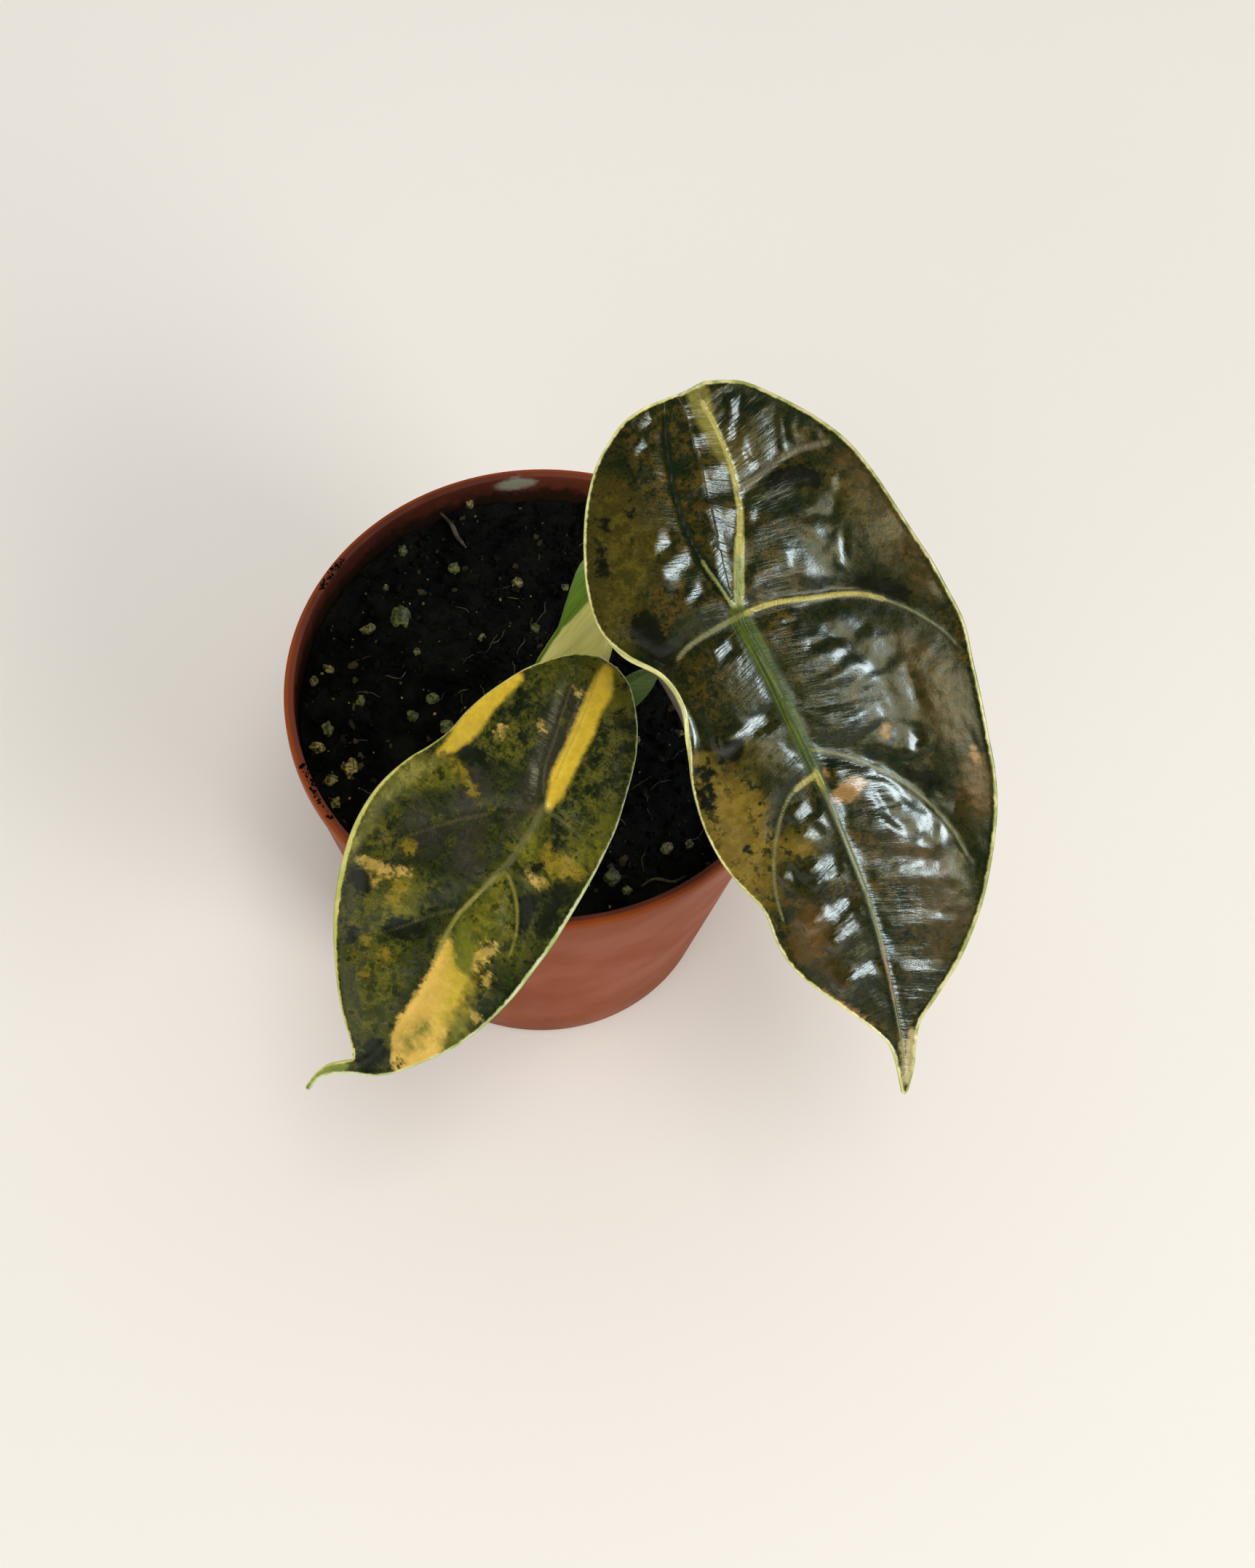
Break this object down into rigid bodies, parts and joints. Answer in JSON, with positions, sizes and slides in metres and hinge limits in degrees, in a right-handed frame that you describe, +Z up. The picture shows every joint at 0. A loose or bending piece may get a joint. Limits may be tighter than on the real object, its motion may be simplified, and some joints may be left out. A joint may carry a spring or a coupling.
{
  "type": "potted alocasia plant",
  "caption": "Young peltate-leaved plant with large and small blades on curved stalks, in a thin tapered nursery pot of peat.",
  "frame": {"origin": "centre of the pot's underside, on its flat centre pad, in the plane that it stands on", "axes": "+Z up; the front, where both blades lean, is -Y; +X is to the right, towards the large blade"},
  "size_m": [0.117, 0.1211, 0.1516],
  "materials": {
    "pot_plastic": "satin terracotta plastic",
    "peat": "loose dark peat with yellow-green granules",
    "corm_skin": "papery brown skin",
    "stalk_cream": "waxy cream with a green stripe",
    "stalk_green": "waxy green",
    "shoot_green": "waxy green",
    "blade_large": "glossy dark green, ochre and bronze variegation",
    "blade_small": "glossy dark green with cream and yellow variegation"
  },
  "bodies": {
    "root": {"nursery_pot": "pot_plastic", "soil": "peat", "corm": "corm_skin", "petiole_large": "stalk_cream", "petiole_small": "stalk_green", "new_shoot": "shoot_green", "leaf_blade_large": "blade_large", "leaf_blade_small": "blade_small"}
  },
  "joints": []
}
